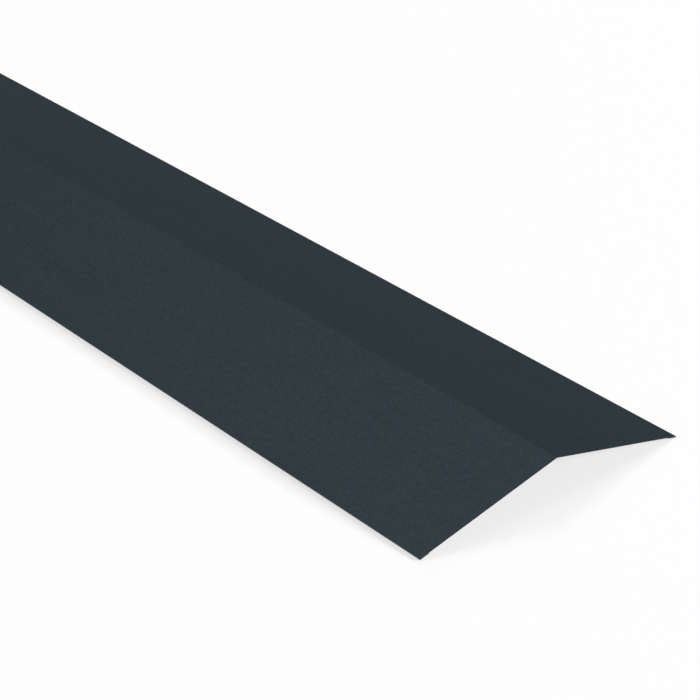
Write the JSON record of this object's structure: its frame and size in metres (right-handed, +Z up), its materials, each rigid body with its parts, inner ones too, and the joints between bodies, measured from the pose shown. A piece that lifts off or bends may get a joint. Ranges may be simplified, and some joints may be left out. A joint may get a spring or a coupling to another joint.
{
  "type": "roof ridge cap",
  "caption": "Straight folded sheet-steel ridge cap with two equal sloping wings and hemmed long edges, to cover the joint where two roof slopes meet.",
  "frame": {"origin": "on the level plane that the two hems stand on, below the ridge, at the middle of the length", "axes": "+X along the ridge, +Y across to one wing, +Z up"},
  "size_m": [2.1, 0.379, 0.0468],
  "materials": {
    "anthracite_steel": "satin"
  },
  "bodies": {
    "root": {"ridge_cap_sheet": "anthracite_steel"}
  },
  "joints": []
}
